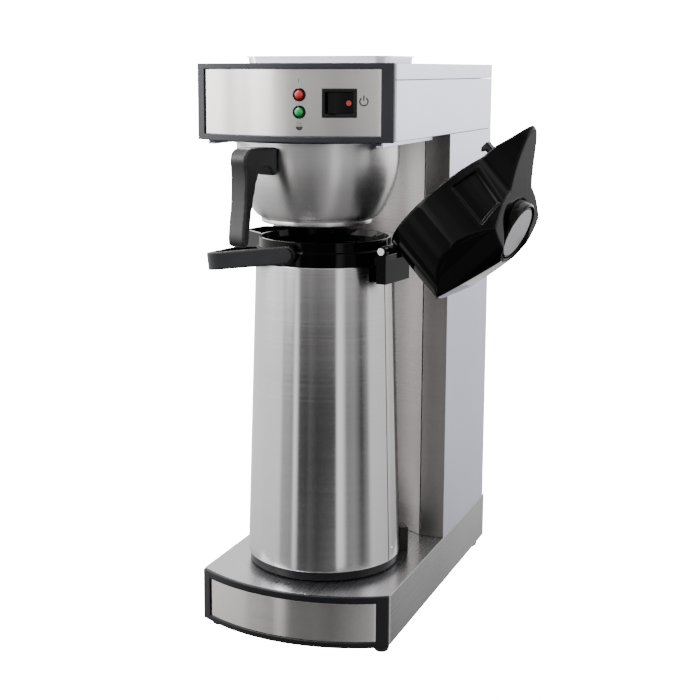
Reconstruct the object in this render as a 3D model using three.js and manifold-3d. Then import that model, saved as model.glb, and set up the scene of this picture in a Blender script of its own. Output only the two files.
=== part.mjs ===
// A pour-over coffee brewer with a pull-out filter funnel and a pump airpot standing on its deck.
// Millimetres, +Z up, the front of the machine looks along -Y. The airpot's lid is open at rest.

import * as THREE from "three";
import { mergeVertices } from "three/addons/utils/BufferGeometryUtils.js";
import Module from "manifold-3d";

const wasm = await Module();
wasm.setup();

// ---------------------------------------------------------------- driving dimensions

const GAP = 0.3;               // air left between pieces that touch
const SHEET = 1.5;             // steel sheet of the casings
const HALF_WIDTH = 100;        // half the width of base, tower and head
const BOW = 30;                // how far the fronts of base and head bulge
const BEZEL = 4;               // thickness of the plastic surrounds

const HEIGHT = { feet: 10.7, deck: 61, headBottom: 496.2, coverSeam: 552.2, headTop: 567.2, basinRim: 574.6 };
const DEPTH = { towerFront: 176.3, towerBack: 339.8, baseBack: 346.3 };

const FLANGE_WIDTH = 26.2;     // flat strip each side of the tower's hollow front
const HOLLOW_DEPTH = 24;       // how deep the tower's front curves in

const POT = {
  y: 78, turn: -8, bottomRadius: 78.5, topRadius: 69.7, steelBottom: 71.4, steelTop: 373.8, rim: 397.5,
};
const HINGE = { out: 77, z: 389, open: 137 };
const LID = { radius: 68, wall: 2.5, ridge: 54 };
const BUTTON = { along: 109, height: 69.5, radius: 26, tilt: 23.5 };
const BAIL = { z: 386, side: 72.7, reach: 104, height: 17.5, thickness: 5, droop: -8.1 };

const FUNNEL = { y: 58.5, top: 494.1, radius: 80, flange: 86, handleTurn: -102.4 };
const RAIL_BACK = 150;
const BASIN = { y: 92.5, halfWidth: 75.5, halfDepth: 46.5, corner: 14, floor: 545 };
const TANK = { front: 206, back: 326, halfWidth: 68, bottom: 330, top: 544 };

const degrees = THREE.MathUtils.degToRad;

// ---------------------------------------------------------------- materials

const paint = (color, roughness, metalness) =>
  new THREE.MeshStandardMaterial({ color, roughness, metalness });

const materials = {
  brushedSteel: paint(0xc4c2be, 0.32, 1.0),
  casingSteel: paint(0xbfc0c8, 0.42, 1.0),
  polishedSteel: paint(0xd2d0cc, 0.2, 1.0),
  darkPlastic: paint(0x1b1b1e, 0.5, 0.0),
  bezelPlastic: paint(0x2f3036, 0.45, 0.0),
  glossPlastic: paint(0x050506, 0.12, 0.0),
  handlePlastic: paint(0x1c1c1e, 0.42, 0.0),
  rubber: paint(0x151515, 0.8, 0.0),
  redLens: paint(0xb21718, 0.2, 0.0),
  greenLens: paint(0x12a03c, 0.2, 0.0),
  copper: paint(0xb5713c, 0.35, 1.0),
  silicone: paint(0xd8d6cf, 0.6, 0.0),
  satinDisc: paint(0xb4b4b8, 0.35, 1.0),
};

// ---------------------------------------------------------------- shape helpers

function signedVolume(position, index) {
  const a = new THREE.Vector3();
  const b = new THREE.Vector3();
  const c = new THREE.Vector3();
  let volume = 0;
  for (let i = 0; i < index.length; i += 3) {
    a.fromBufferAttribute(position, index[i]);
    b.fromBufferAttribute(position, index[i + 1]);
    c.fromBufferAttribute(position, index[i + 2]);
    volume += a.dot(b.cross(c)) / 6;
  }
  return volume;
}

// A solid for joining and cutting: shared corners merged, empty triangles dropped, faces outward.
function solid(geometry) {
  const bare = geometry.clone();
  bare.deleteAttribute("normal");
  bare.deleteAttribute("uv");
  const welded = mergeVertices(bare, 1e-4);
  const corners = welded.index.array;
  const triangles = [];
  for (let i = 0; i < corners.length; i += 3) {
    const [a, b, c] = [corners[i], corners[i + 1], corners[i + 2]];
    if (a !== b && b !== c && c !== a) triangles.push(a, b, c);
  }
  if (signedVolume(welded.attributes.position, triangles) < 0) triangles.reverse();
  const mesh = new wasm.Mesh({
    numProp: 3,
    vertProperties: new Float32Array(welded.attributes.position.array),
    triVerts: new Uint32Array(triangles),
  });
  return new wasm.Manifold(mesh);
}

function surface(manifold) {
  const mesh = manifold.getMesh();
  const geometry = new THREE.BufferGeometry();
  geometry.setAttribute("position", new THREE.BufferAttribute(mesh.vertProperties, 3));
  geometry.setIndex(new THREE.BufferAttribute(mesh.triVerts, 1));
  geometry.computeVertexNormals();
  return geometry;
}

const joined = (...parts) => surface(parts.map(solid).reduce((whole, part) => whole.add(part)));
const cut = (from, ...tools) => {
  const remove = (rest, tool) => rest.subtract(tool);
  return surface(tools.map(solid).reduce(remove, solid(from)));
};
const common = (...parts) => surface(parts.map(solid).reduce((whole, part) => whole.intersect(part)));

function box(x0, x1, y0, y1, z0, z1) {
  const geometry = new THREE.BoxGeometry(x1 - x0, y1 - y0, z1 - z0);
  return geometry.translate((x0 + x1) / 2, (y0 + y1) / 2, (z0 + z1) / 2);
}

function plate(shape, z0, z1, curveSegments = 10) {
  const geometry = new THREE.ExtrudeGeometry(shape, { depth: z1 - z0, bevelEnabled: false, curveSegments });
  return geometry.translate(0, 0, z0);
}

// A body turned about the Z axis, from [radius, height] pairs.
function turned(profile, segments = 40) {
  const points = profile.map(([radius, height]) => new THREE.Vector2(radius, height));
  return new THREE.LatheGeometry(points, segments).rotateX(Math.PI / 2);
}

const ring = (inner, outer, z0, z1, segments) =>
  turned([[inner, z0], [outer, z0], [outer, z1], [inner, z1], [inner, z0]], segments);

const rod = (radius, z0, z1, segments = 24) =>
  turned([[0, z0], [radius, z0], [radius, z1], [0, z1]], segments);

const alongY = (geometry) => geometry.rotateX(-Math.PI / 2);

function tube(points, radius, { bore = 0, sides = 12, steps = 24 } = {}) {
  const knots = points.map((point) => new THREE.Vector3(...point));
  const path = new THREE.CatmullRomCurve3(knots, false, "centripetal");
  const section = new THREE.Shape();
  section.absarc(0, 0, radius, 0, 2 * Math.PI);
  if (bore > 0) {
    const hole = new THREE.Path();
    hole.absarc(0, 0, bore, 0, 2 * Math.PI);
    section.holes.push(hole);
  }
  // an arc is cut into twice its curveSegments
  return new THREE.ExtrudeGeometry(section, { steps, curveSegments: sides / 2, extrudePath: path });
}

function roundedRectangle(halfWidth, halfDepth, radius, centreY = 0) {
  const shape = new THREE.Shape();
  const [x, y] = [halfWidth - radius, halfDepth - radius];
  shape.absarc(x, centreY + y, radius, 0, Math.PI / 2);
  shape.absarc(-x, centreY + y, radius, Math.PI / 2, Math.PI);
  shape.absarc(-x, centreY - y, radius, Math.PI, 1.5 * Math.PI);
  shape.absarc(x, centreY - y, radius, 1.5 * Math.PI, 2 * Math.PI);
  shape.closePath();
  return shape;
}

// A closed body through flat outlines of equal point count, one above the other.
function loft(outlines) {
  const count = outlines[0].points.length;
  const position = [];
  for (const { points, z } of outlines) {
    for (const point of points) position.push(point.x, point.y, z);
  }
  const index = [];
  for (let level = 0; level + 1 < outlines.length; level += 1) {
    for (let i = 0; i < count; i += 1) {
      const next = (i + 1) % count;
      const [a, b] = [level * count + i, level * count + next];
      index.push(a, b, a + count, b, b + count, a + count);
    }
  }
  const top = (outlines.length - 1) * count;
  const faces = THREE.ShapeUtils.triangulateShape(outlines[0].points, []);
  for (const [a, b, c] of faces) {
    index.push(c, b, a);
    index.push(top + a, top + b, top + c);
  }
  const geometry = new THREE.BufferGeometry();
  geometry.setAttribute("position", new THREE.Float32BufferAttribute(position, 3));
  geometry.setAttribute("uv", new THREE.Float32BufferAttribute(new Float32Array(position.length / 3 * 2), 2));
  geometry.setIndex(index);
  geometry.computeVertexNormals();
  return geometry;
}

function outline(shape, divisions) {
  const points = shape.extractPoints(divisions).shape;
  if (points[0].distanceTo(points[points.length - 1]) < 1e-6) points.pop();
  return points.filter((point, i) => i === 0 || point.distanceTo(points[i - 1]) > 1e-6);
}

function add(parent, name, geometry, material) {
  const mesh = new THREE.Mesh(surface(solid(geometry)), material);
  mesh.name = name;
  parent.add(mesh);
  return mesh;
}

function group(parent, { at = [0, 0, 0], turnY = 0, turnZ = 0 } = {}) {
  const holder = new THREE.Group();
  holder.position.set(...at);
  holder.rotation.set(0, degrees(turnY), degrees(turnZ));
  parent.add(holder);
  return holder;
}

// ---------------------------------------------------------------- bowed fronts

const bowRadius = (HALF_WIDTH ** 2 + BOW ** 2) / (2 * BOW);
const bowCentreY = bowRadius - BOW;

function bowedPlan(inset, backY) {
  const radius = bowRadius - inset;
  const half = HALF_WIDTH - inset;
  const start = Math.PI + Math.acos(half / radius);
  const cornerY = bowCentreY + radius * Math.sin(start);
  const shape = new THREE.Shape();
  shape.moveTo(half, backY - inset);
  shape.lineTo(-half, backY - inset);
  shape.lineTo(-half, cornerY);
  shape.absarc(0, bowCentreY, radius, start, 3 * Math.PI - start, false);
  shape.closePath();
  return shape;
}

// A curved strip in front of a bowed casing, between two distances from its steel front.
function bowedStrip(near, far, half, frontHalf = half) {
  const shape = new THREE.Shape();
  const [outer, inner] = [bowRadius + far, bowRadius + near];
  const outerStart = Math.PI + Math.acos(frontHalf / outer);
  const innerStart = Math.PI + Math.acos(half / inner);
  shape.absarc(0, bowCentreY, outer, outerStart, 3 * Math.PI - outerStart, false);
  shape.absarc(0, bowCentreY, inner, 3 * Math.PI - innerStart, innerStart, true);
  shape.closePath();
  return shape;
}

const bezelPlan = () => bowedStrip(GAP, GAP + BEZEL, HALF_WIDTH, HALF_WIDTH - 1.6);

const FRONT_PLATE = { near: 1.2, far: 2.8 };

// A holder on the front plate at a given x and height, its -Y axis square to the bowed surface.
function onFrontPlate(parent, x, z) {
  const radius = bowRadius + FRONT_PLATE.far;
  const turn = Math.asin(x / radius);
  const y = bowCentreY - radius * Math.cos(turn);
  return group(parent, { at: [x, y, z], turnZ: THREE.MathUtils.radToDeg(turn) });
}

const placedLike = (holder, geometry) => {
  holder.updateMatrix();
  return geometry.applyMatrix4(holder.matrix);
};

// ---------------------------------------------------------------- base

function buildBase(parent) {
  const inner = plate(bowedPlan(SHEET, DEPTH.baseBack), HEIGHT.feet - 1, HEIGHT.deck - SHEET);
  add(parent, "base_shell", cut(plate(bowedPlan(0, DEPTH.baseBack), HEIGHT.feet, HEIGHT.deck), inner),
    materials.casingSteel);
  const plateBottom = HEIGHT.feet + GAP;
  add(parent, "base_bottom_plate",
    plate(bowedPlan(SHEET + GAP, DEPTH.baseBack), plateBottom, plateBottom + SHEET), materials.casingSteel);

  const window = box(-88.9, 88.9, -60, 20, 15.2, 54.5);
  add(parent, "base_bezel", cut(plate(bezelPlan(), 9.5, HEIGHT.deck + GAP), window), materials.bezelPlastic);
  add(parent, "base_front_plate", plate(bowedStrip(FRONT_PLATE.near, FRONT_PLATE.far, 88.6), 15.5, 54.2),
    materials.brushedSteel);

  const footProfile = [[0, 0], [6, 0], [6.8, 0.8], [8, 4], [8, HEIGHT.feet], [0, HEIGHT.feet]];
  const footPlaces = {
    front_left: [-88, 8], front_right: [88, 8], rear_left: [-88, 332], rear_right: [88, 332],
  };
  for (const [place, [x, y]] of Object.entries(footPlaces)) {
    add(parent, `foot_${place}`, turned(footProfile, 20).translate(x, y, 0), materials.rubber);
  }
  buildPotGuide(parent);
}

// The curved stop that the airpot is pushed back against.
function buildPotGuide(parent) {
  const [inner, outer, end] = [81, 89.5, degrees(31)];
  const shape = new THREE.Shape();
  shape.absarc(0, POT.y, outer, end, Math.PI - end, false);
  shape.absarc(0, POT.y, inner, Math.PI - end, end, true);
  shape.closePath();
  const standing = plate(shape, HEIGHT.deck + GAP, HEIGHT.deck + 26, 14);
  const slope = new THREE.BoxGeometry(260, 60, 40).rotateX(degrees(-18)).translate(0, 136, HEIGHT.deck + 47);
  add(parent, "pot_guide", cut(standing, slope), materials.darkPlastic);
}

// ---------------------------------------------------------------- tower

const towerBottom = HEIGHT.deck + GAP;
const towerTop = HEIGHT.headBottom - GAP;

function buildTower(parent) {
  const sheetBack = DEPTH.towerBack - SHEET - GAP;
  const sides = { right: 1, left: -1 };
  for (const [side, sign] of Object.entries(sides)) {
    const shape = new THREE.Shape();
    shape.moveTo(sign * HALF_WIDTH, DEPTH.towerFront);
    shape.lineTo(sign * HALF_WIDTH, sheetBack);
    shape.lineTo(sign * (HALF_WIDTH - SHEET), sheetBack);
    shape.lineTo(sign * (HALF_WIDTH - SHEET), DEPTH.towerFront + SHEET);
    shape.lineTo(sign * (HALF_WIDTH - FLANGE_WIDTH), DEPTH.towerFront + SHEET);
    shape.lineTo(sign * (HALF_WIDTH - FLANGE_WIDTH), DEPTH.towerFront);
    shape.closePath();
    add(parent, `tower_side_${side}`, plate(shape, towerBottom, towerTop), materials.casingSteel);
  }
  buildTowerFront(parent);
  buildRearCover(parent);
}

// The hollow front is an arc about an axis close to the airpot's.
function buildTowerFront(parent) {
  const half = HALF_WIDTH - FLANGE_WIDTH - GAP;
  const radius = (half ** 2 + HOLLOW_DEPTH ** 2) / (2 * HOLLOW_DEPTH);
  const centreY = DEPTH.towerFront + HOLLOW_DEPTH - radius;
  const start = Math.acos(half / radius) + degrees(0.5);
  const shape = new THREE.Shape();
  shape.absarc(0, centreY, radius + SHEET, start, Math.PI - start, false);
  shape.absarc(0, centreY, radius, Math.PI - start, start, true);
  shape.closePath();
  add(parent, "tower_front_panel", plate(shape, towerBottom, towerTop, 16), materials.brushedSteel);
}

const INLET = { x: 55, z: 100, radius: 9 };

function buildRearCover(parent) {
  const [front, back] = [DEPTH.towerBack - SHEET, DEPTH.towerBack];
  const slots = [];
  for (let row = 0; row < 7; row += 1) {
    const z = 380 + row * 11;
    slots.push(box(-45, 45, front - 5, back + 5, z, z + 4));
  }
  const inletHole = alongY(rod(INLET.radius + GAP, -6, 6)).translate(INLET.x, back, INLET.z);
  add(parent, "rear_cover",
    cut(box(-HALF_WIDTH, HALF_WIDTH, front, back, towerBottom, towerTop), inletHole, ...slots),
    materials.casingSteel);

  // the strain relief that the mains cord enters through: flange outside, body through the cover
  const relief = [
    [4, -14], [INLET.radius, -14], [INLET.radius, GAP], [14, GAP], [14, 4], [9, 12], [4, 12], [4, -14],
  ];
  add(parent, "mains_inlet", turned(relief, 24).rotateX(-Math.PI / 2).translate(INLET.x, back, INLET.z),
    materials.darkPlastic);
  const block = box(0, 40, front - 20, front - GAP, 130, 150);
  const screwPits = [8, 20, 32].map((x) => alongY(rod(3, 0, 4, 16)).translate(x, front - 21, 140));
  add(parent, "terminal_block", cut(block, ...screwPits), materials.silicone);
}

// ---------------------------------------------------------------- head

const basinShape = (grow, centreY = BASIN.y) =>
  roundedRectangle(BASIN.halfWidth + grow, BASIN.halfDepth + grow, BASIN.corner + grow, centreY);

function basinBody(wall, floor) {
  const levels = [
    [floor, -10], [HEIGHT.headTop - 6, -3.6], [HEIGHT.basinRim - 1.2, -1.6],
  ];
  const outlines = levels.map(([z, grow]) => ({ z, points: outline(basinShape(grow - wall), 4) }));
  outlines.push({ z: HEIGHT.basinRim + (wall > 0 ? 1 : 0), points: outline(basinShape(-1.6 - wall), 4) });
  return loft(outlines);
}

function buildHead(parent) {
  const wallTop = HEIGHT.coverSeam - GAP;
  const hollow = plate(bowedPlan(SHEET, DEPTH.towerBack), HEIGHT.headBottom - 1, wallTop + 1);
  const panelOpening = box(4, 82, -60, 10, 506, 548);
  add(parent, "head_housing",
    cut(plate(bowedPlan(0, DEPTH.towerBack), HEIGHT.headBottom, wallTop), hollow, panelOpening),
    materials.casingSteel);

  const panBottom = HEIGHT.headBottom + GAP;
  const tankOpening = box(-TANK.halfWidth - 5, TANK.halfWidth + 5, TANK.front - 3, TANK.back + 6, 480, 510);
  const sprayHole = rod(12, 480, 510).translate(0, FUNNEL.y, 0);
  add(parent, "head_bottom_pan",
    cut(plate(bowedPlan(SHEET + GAP, DEPTH.towerBack), panBottom, panBottom + SHEET), tankOpening, sprayHole),
    materials.casingSteel);

  const coverHollow = plate(bowedPlan(SHEET, DEPTH.towerBack), HEIGHT.coverSeam - 1, HEIGHT.headTop - SHEET);
  const basinOpening = plate(basinShape(-2.2), HEIGHT.headTop - 5, HEIGHT.headTop + 5);
  add(parent, "head_top_cover",
    cut(plate(bowedPlan(0, DEPTH.towerBack), HEIGHT.coverSeam, HEIGHT.headTop), coverHollow, basinOpening),
    materials.casingSteel);
  buildBasin(parent);
  buildControlPanel(parent);
  buildRails(parent);
  buildWaterPath(parent);
}

function buildBasin(parent) {
  const lip = plate(basinShape(0), HEIGHT.basinRim - 1.2, HEIGHT.basinRim);
  const drain = rod(5, BASIN.floor - 10, BASIN.floor + 10, 24).translate(0, BASIN.y, 0);
  const wall = 1.2;
  const filled = joined(basinBody(0, BASIN.floor), lip);
  add(parent, "fill_basin", cut(filled, basinBody(wall, BASIN.floor + wall), drain), materials.polishedSteel);

  const strainerTop = BASIN.floor + wall + GAP + 1;
  const holes = [];
  for (const [count, radius] of [[1, 0], [6, 7]]) {
    for (let i = 0; i < count; i += 1) {
      const angle = i * 2 * Math.PI / count;
      const hole = rod(1.1, 500, 600, 6);
      holes.push(hole.translate(radius * Math.cos(angle), BASIN.y + radius * Math.sin(angle), 0));
    }
  }
  add(parent, "basin_strainer",
    cut(rod(13, strainerTop - 1, strainerTop, 36).translate(0, BASIN.y, 0), ...holes),
    materials.polishedSteel);
}

const SWITCH = { x: 53.8, z: 531.6, halfWidth: 12.8, halfHeight: 9.9, pivot: 4, rock: 10 };
const LAMP = { x: 17.4, redZ: 539, greenZ: 523.4, radius: 4.4 };

function buildControlPanel(parent) {
  const window = box(-89.2, 89.2, -60, 20, 501.2, 562.2);
  add(parent, "head_bezel",
    cut(plate(bezelPlan(), HEIGHT.headBottom - 0.8, HEIGHT.headTop + GAP), window),
    materials.bezelPlastic);

  const switchPlace = onFrontPlate(parent, SWITCH.x, SWITCH.z);
  const lampPlaces = {
    red: onFrontPlate(parent, LAMP.x, LAMP.redZ),
    green: onFrontPlate(parent, LAMP.x, LAMP.greenZ),
  };
  const openings = [placedLike(switchPlace, box(-14.6, 14.6, -10, 10, -11.7, 11.7))];
  for (const place of Object.values(lampPlaces)) {
    openings.push(placedLike(place, alongY(rod(LAMP.radius + 0.4, -10, 10, 24))));
  }
  add(parent, "control_panel",
    cut(plate(bowedStrip(FRONT_PLATE.near, FRONT_PLATE.far, 88.9), 501.5, 561.9), ...openings),
    materials.brushedSteel);

  const lenses = { red: materials.redLens, green: materials.greenLens };
  for (const [colour, place] of Object.entries(lampPlaces)) {
    buildLamp(place, colour, lenses[colour]);
  }
  buildSwitch(switchPlace);
}

function buildLamp(place, colour, lensMaterial) {
  const dome = [[0, -14], [LAMP.radius, -14], [LAMP.radius, 1.2], [3.7, 2.3], [2.2, 3.1], [0, 3.4]];
  add(place, `${colour}_lamp`, turned(dome, 32).rotateX(Math.PI / 2), lensMaterial);
  const collar = [[4.7, GAP], [6.1, GAP], [5.9, 1.6], [5.2, 2.1], [4.7, 1.7], [4.7, GAP]];
  add(place, `${colour}_lamp_ring`, turned(collar, 36).rotateX(Math.PI / 2), materials.glossPlastic);
}

function buildSwitch(place) {
  const { halfWidth, halfHeight, pivot, rock } = SWITCH;
  const flange = box(-16, 16, -2, -GAP, -13.1, 13.1);
  const housing = box(-14.2, 14.2, -2, 18, -11.3, 11.3);
  const well = box(-halfWidth, halfWidth, -4, 16.5, -halfHeight, halfHeight);
  add(place, "switch_frame", cut(joined(flange, housing), well), materials.glossPlastic);

  const turn = group(place, { at: [0, pivot, 0], turnZ: rock });
  const profile = new THREE.Shape();
  profile.moveTo(-11.4, -7.3);
  profile.quadraticCurveTo(0, -3.5, 11.4, -7.3);
  profile.lineTo(11.2, -1);
  profile.lineTo(5, 6.5);
  profile.lineTo(-5, 6.5);
  profile.lineTo(-11.2, -1);
  profile.closePath();
  const rockerBody = plate(profile, -halfHeight + 0.4, halfHeight - 0.4);
  const lensPlace = [7.4, 0, 0];
  const lensPit = alongY(rod(2.7, 4.6, 12, 20)).rotateX(Math.PI).translate(...lensPlace);
  add(turn, "switch_rocker", cut(rockerBody, lensPit), materials.glossPlastic);
  add(turn, "switch_lens", alongY(rod(2.4, 4.9, 6.9, 20)).rotateX(Math.PI).translate(...lensPlace),
    materials.redLens);
}

// Rails under the head that carry the funnel's flange.
function buildRails(parent) {
  const lipTop = FUNNEL.top - 1.2 - GAP;
  const lipBottom = lipTop - SHEET;
  const railTop = HEIGHT.headBottom;
  for (const [side, sign] of Object.entries({ right: 1, left: -1 })) {
    const shape = new THREE.Shape();
    shape.moveTo(sign * 82, lipBottom);
    shape.lineTo(sign * 88.5, lipBottom);
    shape.lineTo(sign * 88.5, railTop);
    shape.lineTo(sign * 87, railTop);
    shape.lineTo(sign * 87, lipTop);
    shape.lineTo(sign * 82, lipTop);
    shape.closePath();
    const front = -4;
    const rail = new THREE.ExtrudeGeometry(shape, { depth: RAIL_BACK - front, bevelEnabled: false });
    rail.rotateX(Math.PI / 2).translate(0, RAIL_BACK, 0);
    const stopX = [sign * 55, sign * 87.5].sort((a, b) => a - b);
    const stop = box(...stopX, RAIL_BACK - 3, RAIL_BACK, lipBottom, railTop);
    add(parent, `funnel_rail_${side}`, joined(rail, stop), materials.casingSteel);
  }
}

function buildWaterPath(parent) {
  const centreY = (TANK.front + TANK.back) / 2;
  const tankShape = (inset) =>
    roundedRectangle(TANK.halfWidth - inset, (TANK.back - TANK.front) / 2 - inset, 16 - inset, centreY);
  const wall = 1.2;
  const ports = [[20, 510], [-20, 530]];
  const portHoles = ports.map(([x, z]) => alongY(rod(5.4, -10, 10, 20)).translate(x, TANK.front, z));
  const tank = plate(tankShape(0), TANK.bottom, TANK.top);
  add(parent, "water_tank", cut(tank, plate(tankShape(wall), TANK.bottom + wall, TANK.top + 1), ...portHoles),
    materials.polishedSteel);
  const lidBottom = TANK.top + GAP;
  add(parent, "tank_lid", plate(tankShape(0), lidBottom, lidBottom + 2), materials.polishedSteel);

  const [legTop, legTurn] = [TANK.top - GAP, TANK.bottom + 45];
  const loop = [
    [-22, centreY, legTop], [-22, centreY, legTurn + 18], [-12, centreY, legTurn + 3], [0, centreY, legTurn],
    [12, centreY, legTurn + 3], [22, centreY, legTurn + 18], [22, centreY, legTop],
  ];
  add(parent, "heating_element", tube(loop, 4, { sides: 8, steps: 22 }), materials.copper);
  const capBottom = lidBottom + 2 + GAP;
  const cap = [
    [0, capBottom], [14, capBottom], [14, lidBottom + 7], [10, lidBottom + 12], [0, lidBottom + 12],
  ];
  add(parent, "thermostat", turned(cap, 32).translate(38, centreY, 0), materials.darkPlastic);

  const drainTop = BASIN.floor - GAP;
  const fill = [[0, BASIN.y, drainTop], [0, BASIN.y, 528], [5, BASIN.y + 12, 514], [20, BASIN.y + 50, 510],
    [20, TANK.front - 30, 510], [20, TANK.front + 1, 510]];
  add(parent, "fill_tube", tube(fill, 5, { bore: 3.6, sides: 10, steps: 15 }), materials.silicone);
  const outlet = [
    [-20, TANK.front + 1, 530], [-20, TANK.front - 60, 530], [-17, 105, 527], [-7, 68, 522],
    [0, FUNNEL.y, 514], [0, FUNNEL.y, 504.3],
  ];
  add(parent, "outlet_tube", tube(outlet, 5, { bore: 3.6, sides: 10, steps: 15 }), materials.silicone);
  const spray = [
    [3, 496.4], [3, 495.6], [24, 494.8], [24, 496.1], [8, 496.6], [8, 504], [3, 504], [3, 496.4],
  ];
  add(parent, "spray_head", turned(spray, 24).translate(0, FUNNEL.y, 0), materials.polishedSteel);
}

// ---------------------------------------------------------------- funnel

// The bowl's outer wall from its foot up to its straight side, as [radius, height].
const bowlWall = [[57.5, 419.8], [61.8, 423], [67, 431], [71.5, 441], [77.7, 458.6], [80, 476]];
const BOWL_SHEET = 1.2;

function buildFunnel(parent) {
  const place = group(parent, { at: [0, FUNNEL.y, 0] });
  const flangeBottom = FUNNEL.top - BOWL_SHEET;
  const inside = bowlWall.map(([radius, z]) => [radius - BOWL_SHEET, z + 0.2]).reverse();
  const floor = 415;
  const profile = [
    [4.5, 408.5], [6.5, 408.5], [6.5, 413.6], [53.5, 413.6],
    [55.6, 414.6], [56, 417], [55.2, 419.2], ...bowlWall,
    [FUNNEL.radius, flangeBottom], [FUNNEL.flange, flangeBottom], [FUNNEL.flange, FUNNEL.top],
    [FUNNEL.radius - BOWL_SHEET, FUNNEL.top], ...inside, [53.5, floor], [4.5, floor], [4.5, 408.5],
  ];
  add(place, "funnel_bowl", turned(profile, 40), materials.brushedSteel);
  buildFunnelHandle(place);
  buildFilterBasket(place);
}

const HANDLE_HALF_WIDTH = 9;

function buildFunnelHandle(place) {
  const arm = group(place, { turnZ: FUNNEL.handleTurn });
  const shape = new THREE.Shape();
  shape.moveTo(81, 490.5);
  shape.lineTo(118, 491.5);
  shape.quadraticCurveTo(130.5, 491, 130.5, 479);
  shape.quadraticCurveTo(126.5, 455, 134, 413);
  shape.quadraticCurveTo(135.5, 401.5, 129.5, 401.5);
  shape.quadraticCurveTo(124.5, 401.5, 124, 412);
  shape.quadraticCurveTo(121, 432, 115, 452);
  shape.quadraticCurveTo(111, 468, 103, 472);
  shape.quadraticCurveTo(92, 475, 87, 464.5);
  shape.lineTo(80.6, 464.5);
  shape.closePath();
  const lever = plate(shape, 0, 2 * HANDLE_HALF_WIDTH).rotateX(Math.PI / 2);
  lever.translate(0, HANDLE_HALF_WIDTH, 0);
  add(arm, "funnel_handle", lever, materials.handlePlastic);
}

// The wire basket that keeps the paper filter off the bowl.
function buildFilterBasket(place) {
  const wire = 1.2;
  const hoop = (radius, z) => new THREE.TorusGeometry(radius, wire, 5, 24).translate(0, 0, z);
  const parts = [hoop(72.5, 480), hoop(66.6, 444), hoop(40, 416.6)];
  const ribs = 6;
  for (let i = 0; i < ribs; i += 1) {
    const path = [[40, 0, 416.6], [50, 0, 419.5], [60.5, 0, 431], [66.6, 0, 444], [72.5, 0, 480]];
    parts.push(tube(path, wire, { sides: 6, steps: 5 }).rotateZ((i + 0.2) * 2 * Math.PI / ribs));
  }
  add(place, "filter_basket", joined(...parts), materials.polishedSteel);
}

// ---------------------------------------------------------------- airpot

function buildAirpot(parent) {
  const pot = group(parent, { at: [0, POT.y, 0], turnZ: POT.turn });
  const { bottomRadius, topRadius, steelBottom, steelTop } = POT;
  const ringTop = steelBottom - GAP;
  const footBottom = HEIGHT.deck + GAP;
  add(pot, "airpot_base_ring",
    turned([
      [0, footBottom], [74.5, footBottom], [76.5, footBottom + 1.5], [76.5, ringTop], [0, ringTop],
    ], 72),
    materials.darkPlastic);
  const skin = 1;
  add(pot, "airpot_body",
    turned([[bottomRadius, steelBottom], [topRadius, steelTop], [topRadius - skin, steelTop],
      [bottomRadius - skin, steelBottom], [bottomRadius, steelBottom]], 64), materials.brushedSteel);
  add(pot, "airpot_liner",
    turned([[0, 84], [58, 84], [63, 92], [63, 330], [54, 352], [37, 362], [37, 384], [35.5, 384], [35.5, 361],
      [53, 350.5], [61.5, 329.5], [61.5, 93], [57.5, 85.5], [0, 85.5]], 36), materials.polishedSteel);
  buildCollar(pot);
  buildPumpTube(pot);
  buildHinge(pot);
  buildBail(pot);
  buildLid(pot);
}

const COLLAR = { radius: 68.9, spigot: 66.5, shoulder: 388.2 };

function buildCollar(pot) {
  const bottom = POT.steelTop + GAP;
  const body = turned([
    [37.6, bottom], [COLLAR.radius, bottom], [COLLAR.radius, COLLAR.shoulder - 1],
    [COLLAR.spigot, COLLAR.shoulder], [COLLAR.spigot, POT.rim], [64, POT.rim],
    [63, 391], [48, 387], [37.6, 385], [37.6, bottom],
  ], 48);
  const lipShape = (inset) => {
    const shape = new THREE.Shape();
    shape.moveTo(-44 + inset, 46 - inset);
    shape.lineTo(-84 + inset, 19 - inset);
    shape.lineTo(-84 + inset, -19 + inset);
    shape.lineTo(-44 + inset, -46 + inset);
    shape.closePath();
    return shape;
  };
  const lip = cut(plate(lipShape(0), 381, 400.5), plate(lipShape(2.6), 384, 410), rod(64.5, 370, 410, 48));
  add(pot, "airpot_collar", joined(body, lip), materials.glossPlastic);

  for (const [side, sign] of Object.entries({ front: -1, rear: 1 })) {
    const pin = turned([[0, 0], [4, 0], [4, 6.4], [7, 6.4], [6.4, 8.4], [0, 8.4]], 28);
    pin.rotateX(-sign * Math.PI / 2).translate(0, sign * (COLLAR.radius + GAP), BAIL.z);
    add(pot, `bail_pin_${side}`, pin, materials.darkPlastic);
  }
}

// The tube that the pump lifts coffee through, hung from a spider in the liner's neck.
function buildPumpTube(pot) {
  add(pot, "pump_tube", ring(2.8, 4, 92, 386.8, 20), materials.silicone);
  const rimRing = ring(28, 34.8, 385.2, 387.6, 36);
  const hub = ring(4.3, 9, 385.2, 389, 20);
  const arms = [0, 1, 2].map((i) => box(8, 29, -2.5, 2.5, 385.2, 387.2).rotateZ(degrees(30 + 120 * i)));
  add(pot, "tube_holder", joined(rimRing, hub, ...arms), materials.glossPlastic);
}

const KNUCKLE = { half: 19.5, radius: 5, bore: 2.3, earThickness: 6 };

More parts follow.
